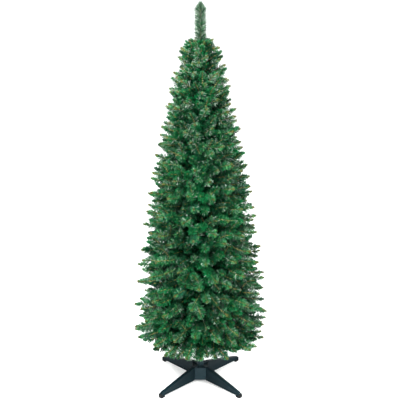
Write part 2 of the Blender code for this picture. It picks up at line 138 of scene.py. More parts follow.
# Tints, and how they are dealt out to the sprigs, to single needles that stray from their sprig's tint,
# and to the finer and inner twigs. The last tint is for sprigs' ends only.
TINTS = ("deep", "middle", "bluish", "light", "pale")
TINT_SHARES = (0.36, 0.56, 0.08, 0.0, 0.0)
# Of the stray needles, those in the light and pale tints are painted highlights; the others vary the tone at
# random.
STRAY_SHARES = (0.38, 0.20, 0.08, 0.20, 0.14)
# Painted shade: the finer and inner twigs get only deep and middle green, for the shade inside the crown.
HIDDEN_SHADE_SHARES = (0.55, 0.45, 0.0, 0.0, 0.0)
TIP_TINT = len(TINTS)
STRAY_SHARE = 0.36  # share of a sprig's needles that stray
TIP_LIGHT = 0.028  # length of a sprig's end over which more and more of its needles are light green, a painted highlight for the light on the ends
TIP_LIGHT_SHARE = 0.66
TIP_GLOW = 0.010  # length of a sprig's end whose needles may have the last tint
TIP_GLOW_SHARE = 0.60
TOP_PALE = 0.33  # share of the needles at the top of the crown that are pale, as light comes through there
TOP_PALE_FROM = 0.80  # height at which it starts from nought

# Where the needles stand on a sprig
FULL_STRETCH = 0.068  # length of a sprig's end that is wound in full
DEPTH_COARSENESS = 2.8  # how much wider and further apart the needles are behind it, where others hide them
DEPTH_SHADE = 0.68  # share of the needles behind it that are deep green: painted shade, for the crown's dark inside
TIP_CONE = 0.038  # length of a sprig's end over which its needles shorten and close up
CONE_SPACING = 0.56  # how much closer together they stand there
LEAST_LENGTH = 0.32  # of a needle right at the end, as a share of the full one
LEAST_LEAN = 0.28  # the same for its lean
SHORTER_UNDER = 0.120  # the needles of sprigs that reach less far than this are shorter

# Single needles
WINDING_SCATTER = 0.55  # how far chance turns a needle round its wire, in radians
LEAN_SCATTER = 0.11  # how far it changes the needle's lean, in radians
LENGTH_SCATTER = (0.88, 1.06)  # shares of the usual length between which it lies
NEEDLE_TWIST = (math.radians(28), math.radians(62))  # of the film between the foot and the tip of a needle
NEEDLE_TIP = 0.36  # half the width of its tip, as a share of the film's width
NEEDLE_FOOT = 0.8  # distance of its foot from the wire's middle, as a share of the strand's radius
BLADE_FACES = np.array([(0, 1, 2), (0, 3, 1), (0, 2, 3), (1, 3, 2)])

# Wires
STRAND_STEP = 0.0042  # length of wire between two rings of its mesh
STRAND_SIDES = 3
STEEP = 0.9  # a direction steeper than this is crossed with X, and any other with Z

# The leader, which stands on top of the pole
LEADER_SINK = 0.004  # how far its wire starts below the pole's top
LEADER_BARE = 0.010  # length of its foot that has no needles
LEADER_TUFT = 0.009  # how far its last needles reach past its wire
LEADER_POINTS = 24
LEADER_TINTS = ("deep", "deep", "pale", "deep")  # of its layers of needles, one over the other; the pale layer is a painted highlight
LEADER_COARSENESS = 0.85
LEADER_STRETCH = 1.10
LEADER_CONE = 0.028

CROWN_BANDS = 6  # pieces that the crown is split into from its foot up, each small enough for one file

# ---- Pole, stand and studio ----

POLE_TOP = 1.345
POLE_RADII = (0.0100, 0.0080, 0.0060)
POLE_JOINTS = (0.505, 0.955)
POLE_SWAGE = 0.012
POLE_WALL = 0.0012
POLE_LIP = POLE_WALL / 3  # how far the end of a wider tube is rolled in
HUB_FACE_DISTANCE = 0.033
HUB_FACE_HALF_WIDTH = 0.0215
HUB_CORNER = (HUB_FACE_DISTANCE + HUB_FACE_HALF_WIDTH) / math.sqrt(2)
HUB_FLOOR = 0.013
HUB_WALL = 0.0026
HUB_WEB = 0.058  # height of the web that closes each pocket of the hub
LEG_ROOT = HUB_CORNER + TOUCHING_GAP
LEG_WIDTH = 0.016
LEG_END = 0.2175
LEG_BOTTOM = 0.008
LEG_ROOT_TOP = 0.066
LEG_END_TOP = 0.0215
LEG_NOSE = 0.006
LEG_NECK = 0.0045  # length of plain leg beside the hub, which narrows towards it
LEG_NECK_SHARE = 0.66  # width that is left at the hub
RECESS_STEEPNESS = 3  # how much faster the walls of a leg's panel fall than they come in
TONGUE_INSET = 0.0055
TONGUE_DEPTH = 0.010
FOOT_REACH = 0.2235
FOOT_LENGTH = 0.021
FOOT_BACK = FOOT_REACH - FOOT_LENGTH
FOOT_WIDTH = 0.018
FOOT_LIP_TOP = 0.0165
FOOT_CORNER = 0.003
SQUARE_ON = 0.99  # a face whose normal has at least this much of an axis is square to it
SAME_PLACE = 1e-6  # points nearer than this are one
HUB_SAME_PLACE = 1e-5  # the same on the hub

FLOOR_RADIUS = 60.0
FLOOR_SEGMENTS = 64
FLOOR_GLOW = 0.25  # how brightly the floor lights itself
LAMPS = (  # name, place, share of the key light's power, width
    ("key lamp", (-1.0, -1.8, 2.9), 1.0, 1.6),
    ("fill lamp", (2.0, -2.0, 2.5), 0.60, 2.0),
    ("back lamp", (0.8, 2.6, 2.8), 0.3, 2.0),
)
FRAME_WIDTH = 400  # pixels
FOCAL_LENGTH = 818.2  # pixels
SIDE_SHIFT = 0.4  # pixels that the pole stands right of the frame's middle
SENSOR_WIDTH = 36.0  # millimetres

# ---- What a user may change ----


def linear(hex_colour):
    """The linear colour of an sRGB hex value such as #1e6b3c."""
    values = [int(hex_colour[at : at + 2], 16) / 255 for at in (1, 3, 5)]
    return [value / 12.92 if value <= 0.04045 else ((value + 0.055) / 1.055) ** 2.4 for value in values]


def colour_setting(name, description, hex_colour):
    """A colour, whose default is given as an sRGB hex value."""
    return FloatVectorProperty(
        name=name, description=description, default=linear(hex_colour), min=0.0, max=1.0, subtype="COLOR"
    )


def size_setting(name, description, default, low, high):
    """A size in metres, with its default and its limits."""
    return FloatProperty(
        name=name, description=description, default=default, min=low, max=high, unit="LENGTH"
    )


class FirNeedles(bpy.types.PropertyGroup):
    """Sizes and colours of the needles."""

    length: size_setting(
        "Length", "Length of a needle, from the wire to its tip", 0.0212, low=0.005, high=0.040
    )
    width: size_setting(
        "Width", "Width of the film strip that a needle is cut from", 0.0021, low=0.0005, high=0.004
    )
    spacing: size_setting(
        "Spacing", "Length of wire that holds one pair of needles", 0.00101, low=0.0005, high=0.005
    )
    lean: FloatProperty(
        name="Lean", description="Angle between a needle and the wire that it stands on",
        default=math.radians(61), min=math.radians(20), max=math.radians(90), subtype="ANGLE",
    )
    deep: colour_setting("Deep green", "Colour of the darkest sprigs", "#04391e")
    middle: colour_setting("Middle green", "Colour of most sprigs", "#0b5d31")
    bluish: colour_setting("Bluish green", "Colour of the cooler sprigs", "#0b5237")
    # Painted highlight: the light green near a sprig's end stands in for the light that falls on the ends of
    # the tufts.
    light: colour_setting("Light green", "Colour of the new growth near a sprig's end", "#488f52")
    # Painted highlight: the pale tint stands in for the sheen of light on the glossy film. It is dealt to
    # stray needles, to the top of the crown and to one layer of the leader.
    pale: colour_setting("Pale green", "Colour of needles that show the pale side of the film", "#93a393")
    tip: colour_setting("Tip green", "Colour of the shortest needles, right at a sprig's end", "#625f30")


class FirWire(bpy.types.PropertyGroup):
    """Sizes and colours of the twisted wire."""

    strand: size_setting(
        "Strand radius", "Radius of one wrapped strand of a sprig's wire", 0.0015, low=0.0003, high=0.003
    )
    stem_strand: size_setting(
        "Stem strand radius", "Radius of one wrapped strand of a stem", 0.0013, low=0.0005, high=0.004
    )
    fine_strand: size_setting(
        "Fine twig radius", "Radius of a finer or inner twig's wrapped wire", 0.0020, low=0.0003, high=0.004
    )
    pitch: size_setting(
        "Pitch", "Length of wire in which two strands wind once round each other", 0.017, low=0.004, high=0.05
    )
    tan: colour_setting("Tan strand", "Colour of the lighter strand", "#a69c5c")
    brown: colour_setting("Brown strand", "Colour of the darker strand", "#544f2a")


class FirStand(bpy.types.PropertyGroup):
    """Sizes and colours of the pole and the stand."""

    edge: size_setting("Edge radius", "Radius of the moulded edges", 0.0007, low=0.0002, high=0.0015)
    rim: size_setting(
        "Leg rim", "Width of the flat rim round each side of a leg", 0.0026, low=0.001, high=0.005
    )
    recess: size_setting("Leg recess", "Depth of the panel inside the rim", 0.0022, low=0.0005, high=0.005)
    pole_sides: IntProperty(
        name="Pole segments", description="Segments round the pole", default=40, min=12, max=96
    )
    # The hub and the legs are one plastic: the legs' colour is painted darker than the hub's, for the shade
    # that falls on them.
    hub_plastic: colour_setting("Hub plastic", "Colour of the moulded hub", "#1e2f35")
    plastic: colour_setting("Stand plastic", "Colour of the moulded legs", "#04181e")
    rubber: colour_setting("Boot rubber", "Colour of the boots under the legs", "#141719")
    paint: colour_setting("Pole paint", "Colour of the painted pole", "#1f4a34")


class FirStage(bpy.types.PropertyGroup):
    """The floor, the light and the camera."""

    floor: colour_setting("Floor", "Colour of the floor", "#f7f7f6")
    sky: FloatProperty(
        name="Ambient light", description="Strength of the even light from all sides",
        default=1.0, min=0.0, max=5.0,
    )
    key: FloatProperty(
        name="Key light", description="Power of the lamp in front on the left, which the others follow",
        default=240.0, min=0.0, max=2000.0, unit="POWER",
    )
    camera_distance: size_setting(
        "Camera distance", "Distance in front of the pole", 2.992, low=1.0, high=20.0
    )
    camera_height: size_setting("Camera height", "Height above the floor", 1.659, low=0.0, high=10.0)
    camera_pitch: FloatProperty(
        name="Camera pitch", description="How far the camera looks down",
        default=math.radians(16.73), min=0.0, max=math.radians(90), subtype="ANGLE",
    )


# ---- Shape of the crown ----


def evenly(low, high, steps):
    """The two values given and those that cut the stretch between them into even steps."""
    return [low + (high - low) * step / steps for step in range(steps + 1)]


def pole_radius(height):
    """Outer radius of the pole at this height."""
    radius = POLE_RADII[0]
    for joint, narrower in zip(POLE_JOINTS, POLE_RADII[1:]):
        swaged = min(1.0, max(0.0, (height - joint) / POLE_SWAGE))
        radius -= swaged * (radius - narrower)
    return radius


def crown_radius(height):
    """How far the furthest tips reach from the pole's axis at this height."""
    if height < WIDEST_HEIGHT:
        return CROWN_RADIUS - SKIRT_CURVE * (WIDEST_HEIGHT - height) ** 2
    rise = min(1.0, (height - WIDEST_HEIGHT) / (SHOULDER_HEIGHT - WIDEST_HEIGHT))
    return SHOULDER_RADIUS + (CROWN_RADIUS - SHOULDER_RADIUS) * (1 - rise**TAPER_POWER)


def flow_slope(root):
    """Slope of the branches that leave the pole at this height."""
    return LOWEST_SLOPE + SLOPE_GAIN * root


def tip_radius(root):
    """Where a branch from this height on the pole meets the outside of the crown."""
    radius = CROWN_RADIUS
    for _ in range(SETTLING_ROUNDS):
        radius = (radius + crown_radius(root + radius * flow_slope(root))) / 2
    return radius


class Space(NamedTuple):
    """The sector round the pole, and the stretch of the pole, that one mass keeps to."""

    azimuth: float
    half_angle: float
    low: float
    high: float


def spaces():
    """Yields the name and the space of every mass of the crown."""
    count = 0
    for zone, (sectors, tiers) in enumerate(zip(ZONE_SECTORS, ZONE_TIERS)):
        low, high = ZONE_LEVELS[zone : zone + 2]
        cuts = evenly(low, high, tiers)
        half_step = (high - low) / tiers / 2
        for sector in range(sectors):
            azimuth = 2 * math.pi * sector / sectors - math.pi / 2
            levels = [low, *[cut + half_step for cut in cuts[:-1]], high] if sector % 2 else cuts
            for foot, top in zip(levels, levels[1:]):
                count += 1
                yield f"needles_{count:02}", Space(azimuth, math.pi / sectors, foot, top)


def sprig_ends():
    """Spreads the ends of all sprigs evenly over the crown: (azimuth, height on the pole) of each."""
    dice = random.Random(SPRIG_SEED)
    crown = ZONE_LEVELS[-1] - ZONE_LEVELS[0]
    ends = []
    for index in range(SPRIG_COUNT):
        share = (index + 0.5) / SPRIG_COUNT
        root = ZONE_LEVELS[0] + crown * share**SPRIG_THINNING
        step = crown * SPRIG_THINNING * share ** (SPRIG_THINNING - 1) / SPRIG_COUNT
        reach = tip_radius(root)
        apart = math.sqrt(2 * math.pi * reach * step)
        azimuth = index * GOLDEN_ANGLE + dice.uniform(-SPRIG_SCATTER, SPRIG_SCATTER) * apart / reach
        ends.append((azimuth, root + dice.uniform(-SPRIG_SCATTER, SPRIG_SCATTER) * apart))
    return ends


def kept_inside(space, turn, root, reach):
    """Moves a twig's end in from its space's sides, so that its needles have room."""
    most = space.half_angle - INNER_MARGIN / reach
    turn = max(-most, min(most, turn))
    return turn, max(space.low + INNER_MARGIN, min(space.high - INNER_MARGIN, root))


def ends_in(space, ends):
    """The sprig ends that belong to a space, nearest its middle first, as (turn from the middle, height)."""
    middle = (space.low + space.high) / 2
    reach = tip_radius(middle)
    found = []
    for azimuth, root in ends:
        turn = math.remainder(azimuth - space.azimuth, 2 * math.pi)
        if abs(turn) < space.half_angle and space.low <= root < space.high:
            found.append((turn, root))
    return sorted(found, key=lambda end: math.hypot(end[0] * reach, end[1] - middle))


class Route:
    """A wire's way out from near the pole to its end, bending from the start's direction to the end's.

    Its start and end are each a turn from the middle of the space and a height on the pole.
    """

    def __init__(self, space, start, from_radius, end, reach):
        self.space = space
        self.limit = tip_radius((space.low + space.high) / 2)
        self.start = start
        self.from_radius = from_radius
        self.end = end
        self.reach = reach

    def aim(self, radius):
        """Turn and height on the pole of the flow that the wire follows at this distance from the axis."""
        bend = 1 - (1 - (radius - self.from_radius) / (self.reach - self.from_radius)) ** BEND_POWER
        turn = self.start[0] + (self.end[0] - self.start[0]) * bend
        root = self.start[1] + (self.end[1] - self.start[1]) * bend
        return turn, root

    def points(self):
        """The wire's centre line, as an array of points a few millimetres apart."""
        count = max(LEAST_PATH_POINTS, round((self.reach - self.from_radius) / PATH_STEP))
        radius = np.linspace(self.from_radius, self.reach, count)
        turn, root = self.aim(radius)
        azimuth = self.space.azimuth + turn
        sag = (LOWEST_UPTURN - UPTURN_LOSS * root) * radius * (1 - radius / self.limit)
        height = root + radius * flow_slope(root) - sag
        bent = max(0.0, LOWEST_TIP - height[-1]) + min(0.0, HIGHEST_TIP - height[-1])
        height += bent * (radius / self.reach) ** 2
        return np.stack([radius * np.cos(azimuth), radius * np.sin(azimuth), height], axis=1)


def sprig_reach(root):
    """How far out a wire may end that leaves the pole at this height: a cone rounds the crown's top."""
    under_cone = TOP_SPREAD * (TOP_APEX - root) / (1 + TOP_SPREAD * flow_slope(root))
    return min(tip_radius(root), under_cone) - TIP_LENGTH


def side_route(stem, end):
    """The way of a sprig, which forks off the stem and turns to its own direction to reach its end."""
    reach = sprig_reach(end[1])
    aside = math.hypot((end[0] - stem.end[0]) * reach, end[1] - stem.end[1]) / reach
    fork = max(BARE_STEM, min(reach, stem.reach) * FORK_SHARE * (1 - aside))
    return Route(stem.space, stem.aim(fork), fork, end, reach)


def inner_routes(space, dice):
    """Yields the ways of the twigs that leave the pole straight, spread evenly over the space."""
    reach = tip_radius((space.low + space.high) / 2)
    breadth = space.half_angle * reach
    at_foot = space.low == ZONE_LEVELS[0]
    crowding = math.sqrt(CROWN_RADIUS / reach) * (FOOT_CROWDING if at_foot else 1.0)
    count = round(crowding * breadth * (space.high - space.low) / INNER_SPACING**2)
    phase = dice.random()
    for index in range(count):
        root = space.low + (space.high - space.low) * (index + 0.5) / count
        turn = space.half_angle * (2 * ((phase + index * GOLDEN_SHARE) % 1.0) - 1)
        aim = kept_inside(space, turn, root, reach)
        own_reach = min(reach * dice.uniform(*INNER_REACH), sprig_reach(root))
        yield Route(space, aim, pole_radius(root) - TOUCHING_GAP, aim, own_reach)


def finer_route(parent, taken, dice):
    """A finer twig's way, which forks off a sprig and ends beside it in the widest gap, and that gap's width.

    The gaps lie between the ends that are taken, each an azimuth and a height on the pole.
    """
    fork = parent.from_radius + (parent.reach - parent.from_radius) * dice.uniform(*FINE_FORK)
    reach = parent.reach * dice.uniform(*FINE_REACH)
    others = np.array(taken)
    best = (0.0, parent.end)
    for _ in range(FINE_CHOICES):
        way = dice.uniform(0, 2 * math.pi)
        turn = parent.end[0] + FINE_SPREAD * math.cos(way) / reach
        root = parent.end[1] + FINE_SPREAD * math.sin(way)
        around_pole = np.abs(others[:, 0] - parent.space.azimuth - turn) % (2 * math.pi)
        aside = np.minimum(around_pole, 2 * math.pi - around_pole) * reach
        best = max(best, (np.hypot(aside, others[:, 1] - root).min(), (turn, root)))
    return Route(parent.space, parent.aim(fork), fork, best[1], reach), best[0]


# ---- Wires and needles, as arrays ----


class Shoot(NamedTuple):
    """A wire with its needles."""

    path: np.ndarray
    bare: float  # length of its foot that has none
    strand: float  # radius of a strand
    strands: int
    tint: int
    coarseness: float  # how much wider the needles are than usual, and how much further apart
    stretch: float = 1.0  # their length against the usual
    cone: float = TIP_CONE
    full: float = FULL_STRETCH
    glowing: bool = True  # whether its end and the crown's top are lighter, with painted light, and its end has the tip tint


def distances(path):
    """How far along a path each of its points lies."""
    return np.concatenate([[0.0], np.cumsum(np.linalg.norm(np.diff(path, axis=0), axis=1))])


def stations(path, at):
    """Place and direction of the points at these distances along a path."""
    along = distances(path)
    heading = np.gradient(path, along, axis=0)
    place = np.stack([np.interp(at, along, path[:, axis]) for axis in range(3)], axis=1)
    ahead = np.stack([np.interp(at, along, heading[:, axis]) for axis in range(3)], axis=1)
    return place, unit(ahead)


def unit(vectors):
    return vectors / np.linalg.norm(vectors, axis=1, keepdims=True)


def sides_of(ahead):
    """Two directions for each one given, square to it and to each other."""
    steep = np.abs(ahead[:, 2:]) > STEEP
    side = unit(np.cross(ahead, np.where(steep, (1.0, 0.0, 0.0), (0.0, 0.0, 1.0))))
    return side, np.cross(ahead, side)


def around(side, other, angle):
    return side * np.cos(angle)[:, None] + other * np.sin(angle)[:, None]


def needle_places(shoot, spacing, length):
    """How far along its wire each needle stands, and where the stretch begins that is wound in full."""
    full = max(shoot.bare, length - shoot.full)
    cone = max(full, length - shoot.cone)
    step = spacing * shoot.coarseness
    deep = np.arange(shoot.bare, full, step * DEPTH_COARSENESS)
    at = np.concatenate([deep, np.arange(full, cone, step), np.arange(cone, length, step * CONE_SPACING)])
    return np.repeat(at, 2), full


def needle_tints(shoot, to_end, deep, height, chance):
    """The tint of each needle of a wire, by its distance from the wire's end, its depth and its height."""
    count = len(to_end)
    tints = np.full(count, shoot.tint)
    stray = (chance.random(count) < STRAY_SHARE) & ~deep & (shoot.coarseness <= 1.0)
    tints[stray] = chance.choice(len(TINTS), stray.sum(), p=STRAY_SHARES)
    # Painted shade: most needles behind the fully wound end are deep green, for the shade inside the crown.
    tints[deep & (chance.random(count) < DEPTH_SHADE)] = TINTS.index("deep")
    if shoot.glowing:
        # Painted light: more needles are pale towards the top of the crown, for the light that comes through
        # there.
        thinned = TOP_PALE * (height - TOP_PALE_FROM) / (TREE_HEIGHT - TOP_PALE_FROM)
        tints[chance.random(count) < thinned] = TINTS.index("pale")
        # Painted highlight: more and more needles are light green towards a sprig's end.
        lit = TIP_LIGHT_SHARE * (1 - to_end / TIP_LIGHT)
        tints[(chance.random(count) < lit) & (to_end > TIP_GLOW)] = TINTS.index("light")
        tints[(to_end < TIP_GLOW) & (chance.random(count) < TIP_GLOW_SHARE)] = TIP_TINT
    return tints


def needles_on(shoot, sizes, pitch, chance):
    """The needles of one wire: corners (needles, 4, 3) and tints.

    Pairs of needles are caught between two strands, so their direction winds round the wire once a pitch.
    Each needle is a strip of film with a little twist: one edge at the wire and one, narrower, at its tip.
    Towards the wire's end they are shorter and lie closer to it.
    """
    length = distances(shoot.path)[-1]
    at, full = needle_places(shoot, sizes.spacing, length)
    deep = at < full
    width = sizes.width * shoot.coarseness * np.where(deep, DEPTH_COARSENESS, 1.0)
    place, ahead = stations(shoot.path, at)
    count = len(at)
    side, other = sides_of(ahead)
    facing = np.tile([0.0, math.pi], count // 2)
    wound = 2 * math.pi * at / pitch + facing + chance.normal(0, WINDING_SCATTER, count)
    out = around(side, other, wound)

    closing = np.clip((length - at) / shoot.cone, 0.0, 1.0)
    lean = sizes.lean * (LEAST_LEAN + (1 - LEAST_LEAN) * closing) + chance.normal(0, LEAN_SCATTER, count)
    full_length = sizes.length * shoot.stretch * chance.uniform(*LENGTH_SCATTER, count)
    reach = full_length * (LEAST_LENGTH + (1 - LEAST_LENGTH) * closing)
    along = unit(ahead * np.cos(lean)[:, None] + out * np.sin(lean)[:, None])
    first, second = sides_of(along)
    roll = chance.uniform(0, 2 * math.pi, count)
    twist = chance.uniform(*NEEDLE_TWIST, count)
    foot_edge = around(first, second, roll) * width[:, None] / 2
    tip_edge = around(first, second, roll + twist) * width[:, None] * NEEDLE_TIP
    foot = place + out * shoot.strand * NEEDLE_FOOT
    tip = foot + along * reach[:, None]
    corners = np.stack([foot + foot_edge, foot - foot_edge, tip + tip_edge, tip - tip_edge], axis=1)
    return corners, needle_tints(shoot, length - at, deep, place[:, 2], chance)


def strands_of(shoot, pitch):
    """The strands of one wire: for each, its points (rings, sides, 3). Two wind round each other."""
    at = np.arange(0.0, distances(shoot.path)[-1], STRAND_STEP * shoot.coarseness)
    place, ahead = stations(shoot.path, at)
    side, other = sides_of(ahead)
    wound = 2 * math.pi * at / pitch
    aside = shoot.strand if shoot.strands > 1 else 0.0
    found = []
    for strand in range(shoot.strands):
        centre = place + around(side, other, wound + strand * math.pi) * aside
        corners = [
            centre + around(side, other, np.full(len(at), angle)) * shoot.strand
            for angle in 2 * math.pi * np.arange(STRAND_SIDES) / STRAND_SIDES
        ]
        found.append(np.stack(corners, axis=1))
    return found


def tube_faces(rings):
    """Triangles of a tube with closed ends whose points are counted ring by ring."""
    ring = np.arange(rings - 1)[:, None] * STRAND_SIDES
    corner = np.arange(STRAND_SIDES)[None, :]
    after = (corner + 1) % STRAND_SIDES
    a, b = ring + corner, ring + after
    c, d = b + STRAND_SIDES, a + STRAND_SIDES
    walls = np.concatenate([np.stack([a, b, c], axis=-1), np.stack([a, c, d], axis=-1)]).reshape(-1, 3)
    last = (rings - 1) * STRAND_SIDES
    fan = [(0, corner, corner + 1) for corner in range(1, STRAND_SIDES - 1)]
    caps = [(a, c, b) for a, b, c in fan] + [(last + a, last + b, last + c) for a, b, c in fan]
    return np.concatenate([walls, caps])


def add_object(name, data):
    """Puts an object of this data in the scene, at the origin."""
    made = bpy.data.objects.new(name, data)
    bpy.context.scene.collection.objects.link(made)
    return made


def mesh_from_arrays(name, points, triangles, slots, materials, smooth):
    """Makes an object at the origin from arrays of points, triangles and each triangle's material."""
    mesh = bpy.data.meshes.new(name)
    mesh.vertices.add(len(points))
    mesh.vertices.foreach_set("co", points.astype(np.float32).ravel())
    mesh.loops.add(3 * len(triangles))
    mesh.loops.foreach_set("vertex_index", triangles.astype(np.int32).ravel())
    mesh.polygons.add(len(triangles))
    mesh.polygons.foreach_set("loop_start", np.arange(0, 3 * len(triangles), 3, dtype=np.int32))
    mesh.polygons.foreach_set("material_index", slots.astype(np.int32))
    for material in materials:
        mesh.materials.append(material)
    mesh.update(calc_edges=True)
    mesh.polygons.foreach_set("use_smooth", np.full(len(triangles), smooth))
    return add_object(name, mesh)


def make_needles(name, shoots, materials, chance):
    """One mesh of all the needles on these wires."""
    settings = bpy.context.scene
    parts = [needles_on(shoot, settings.fir_needles, settings.fir_wire.pitch, chance) for shoot in shoots]
    corners, tints = (np.concatenate(part) for part in zip(*parts))
    triangles = (np.arange(len(corners))[:, None, None] * 4 + BLADE_FACES[None]).reshape(-1, 3)
    slots = np.repeat(tints, len(BLADE_FACES))
    return mesh_from_arrays(name, corners.reshape(-1, 3), triangles, slots, materials, False)


def make_wires(name, shoots, materials):
    """One mesh of all the twisted wires."""
    points, triangles, slots, count = [], [], [], 0
    for shoot in shoots:
        for slot, strand in enumerate(strands_of(shoot, bpy.context.scene.fir_wire.pitch)):
            faces = tube_faces(len(strand))
            points.append(strand.reshape(-1, 3))
            triangles.append(faces + count)
            band = faces.min(axis=1) // STRAND_SIDES
            slots.append(np.full(len(faces), slot) if shoot.strands > 1 else band % 2)
            count += strand.size // 3
    arrays = [np.concatenate(parts) for parts in (points, triangles, slots)]
    return mesh_from_arrays(name, *arrays, materials, True)


def needle_stretch(route):
    """The length of a sprig's needles against the usual: short sprigs have shorter ones."""
    return min(1.0, math.sqrt(route.reach / SHORTER_UNDER))


def dealt_tint(shares, dice):
    """The tint that chance gives a whole sprig or twig."""
    return dice.choices(range(len(TINTS)), shares)[0]


def finer_shoots(route, taken, dice):
    """Yields the finer twigs of one sprig, and adds their ends to those that are taken."""
    for least_gap in FINE_GAPS:
        finer, gap = finer_route(route, taken, dice)
        if gap > least_gap:
            taken.append((route.space.azimuth + finer.end[0], finer.end[1]))
            # Painted shade: finer twigs are dealt the darker tints.
            tint = dealt_tint(HIDDEN_SHADE_SHARES, dice)
            strand = bpy.context.scene.fir_wire.fine_strand
            yield Shoot(finer.points(), 0.0, strand, 1, tint, 1.0, glowing=False)


def grow_mass(name, space, ends, taken):
    """All wires of one mass: its stem, its sprigs, their finer twigs and its inner twigs."""
    wire = bpy.context.scene.fir_wire
    dice = random.Random(name)
    own_end, *side_ends = ends_in(space, ends)
    middle = (space.low + space.high) / 2
    pole_side = pole_radius(middle) - TOUCHING_GAP
    stem = Route(space, (0.0, middle), pole_side, own_end, sprig_reach(own_end[1]))
    shoots = []
    for route in [stem] + [side_route(stem, end) for end in side_ends]:
        tint = dealt_tint(TINT_SHARES, dice)
        bare = BARE_STEM - pole_side if route is stem else 0.0
        strand = wire.stem_strand if route is stem else wire.strand
        shoots.append(Shoot(route.points(), bare, strand, 2, tint, 1.0, needle_stretch(route)))
        if route.reach > LEAST_FINE_REACH:
            shoots.extend(finer_shoots(route, taken, dice))
    for route in inner_routes(space, dice):
        # Painted shade: inner twigs are dealt the darker tints.
        tint = dealt_tint(HIDDEN_SHADE_SHARES, dice)
        stretch = needle_stretch(route)
        twig = Shoot(
            route.points(), INNER_BARE, wire.fine_strand, 1, tint, INNER_COARSENESS, stretch, glowing=False
        )
        shoots.append(twig)
    return shoots


def wound_length(shoots):
    """The length of these wires together. Coarse ones count for less, as they carry fewer needles."""
    return sum(distances(shoot.path)[-1] / shoot.coarseness for shoot in shoots)


# ---- Materials ----


def add_node(tree, kind, inputs=None, **settings):
    """Adds a node with its settings. Each input is given a value, or an output to link it to."""
    node = tree.nodes.new(kind)
    for name, value in settings.items():
        setattr(node, name, value)
    for name, value in (inputs or {}).items():
        if isinstance(value, bpy.types.NodeSocket):
            tree.links.new(value, node.inputs[name])
        else:
            node.inputs[name].default_value = value
    return node


def new_material(name, colour, inputs):
    """A material with a Principled shader, and that shader and its node tree."""
    material = bpy.data.materials.new(name)
    material.use_nodes = True
    tree = material.node_tree
    shader = tree.nodes["Principled BSDF"]
    shader.inputs["Base Color"].default_value = (*colour, 1.0)
    for socket, value in inputs.items():
        shader.inputs[socket].default_value = value
    material.diffuse_color = (*colour, 1.0)
    return material, tree, shader


def film_material(name, colour):
    """PVC film, calendered and cut into needles: it is smooth, so it catches light along its whole length."""
    return new_material(name, colour, {"Roughness": 0.32, "IOR": 1.53})[0]


def film_materials():
    sizes = bpy.context.scene.fir_needles
    names = [*TINTS, "tip"]
    return [film_material(f"green PVC film, {name}", getattr(sizes, name)) for name in names]


def wire_materials():
    """Steel wire wrapped in PVC tape: a dull tan and a dull brown, which show through between the needles."""
    wire = bpy.context.scene.fir_wire
    finish = {"Roughness": 0.55, "IOR": 1.53}
    tan = new_material("tan PVC tape", wire.tan, finish)[0]
    brown = new_material("brown PVC tape", wire.brown, finish)[0]
    return [tan, brown]


def grained(tree, shader, grain_mm, depth_mm, strength):
    """Gives a surface the fine even grain of its mould or its paint, as bump."""
    place = add_node(tree, "ShaderNodeTexCoord")
    grain = add_node(
        tree,
        "ShaderNodeTexNoise",
        {"Vector": place.outputs["Object"], "Scale": 1000 / grain_mm, "Detail": 3.0, "Roughness": 0.6},
    )
    bump = add_node(
        tree,
        "ShaderNodeBump",
        {"Height": grain.outputs["Fac"], "Distance": depth_mm / 1000, "Strength": strength},
    )
    tree.links.new(bump.outputs["Normal"], shader.inputs["Normal"])
    return place


def shaded(tree, shader, place, colour, patch_mm, spread):
    """Varies a colour a little in soft patches, as plastic and paint do where they cooled or were handled."""
    patches = add_node(
        tree,
        "ShaderNodeTexNoise",
        {"Vector": place.outputs["Object"], "Scale": 1000 / patch_mm, "Detail": 4.0, "Roughness": 0.55},
    )
    dark = [value * (1 - spread) for value in colour]
    pale = [min(1.0, value * (1 + spread)) for value in colour]
    mixed = add_node(
        tree,
        "ShaderNodeMix",
        {"Factor": patches.outputs["Fac"], "A": (*dark, 1.0), "B": (*pale, 1.0)},
        data_type="RGBA",
    )
    tree.links.new(mixed.outputs["Result"], shader.inputs["Base Color"])
    return patches


def stand_plastic(name, colour):
    """Polypropylene, injection moulded in a spark-eroded mould: an even dull sheen over a fine grain.

    The grain is 0.3 mm on the real part, and is drawn 1.2 mm wide so that it shows.
    """
    finish = {"Roughness": 0.52, "IOR": 1.49, "Specular IOR Level": 0.1}
    material, tree, shader = new_material(f"moulded polypropylene, {name}", colour, finish)
    place = grained(tree, shader, grain_mm=1.2, depth_mm=0.06, strength=0.5)
    patches = shaded(tree, shader, place, colour, patch_mm=16.0, spread=0.16)
    sheen = add_node(
        tree,
        "ShaderNodeMapRange",
        {"Value": patches.outputs["Fac"], "To Min": 0.44, "To Max": 0.60},
    )
    tree.links.new(sheen.outputs["Result"], shader.inputs["Roughness"])
    return material


def boot_rubber():
    """Thermoplastic rubber, moulded: darker and duller than the legs, scuffed a little grey.

    Its grain is finer than the 0.9 mm at which it is drawn so that it shows.
    """
    colour = bpy.context.scene.fir_stand.rubber
    material, tree, shader = new_material(
        "thermoplastic rubber, black", colour, {"Roughness": 0.68, "IOR": 1.50, "Specular IOR Level": 0.1}
    )
    place = grained(tree, shader, grain_mm=0.9, depth_mm=0.05, strength=0.5)
    shaded(tree, shader, place, colour, patch_mm=5.0, spread=0.35)
    return material


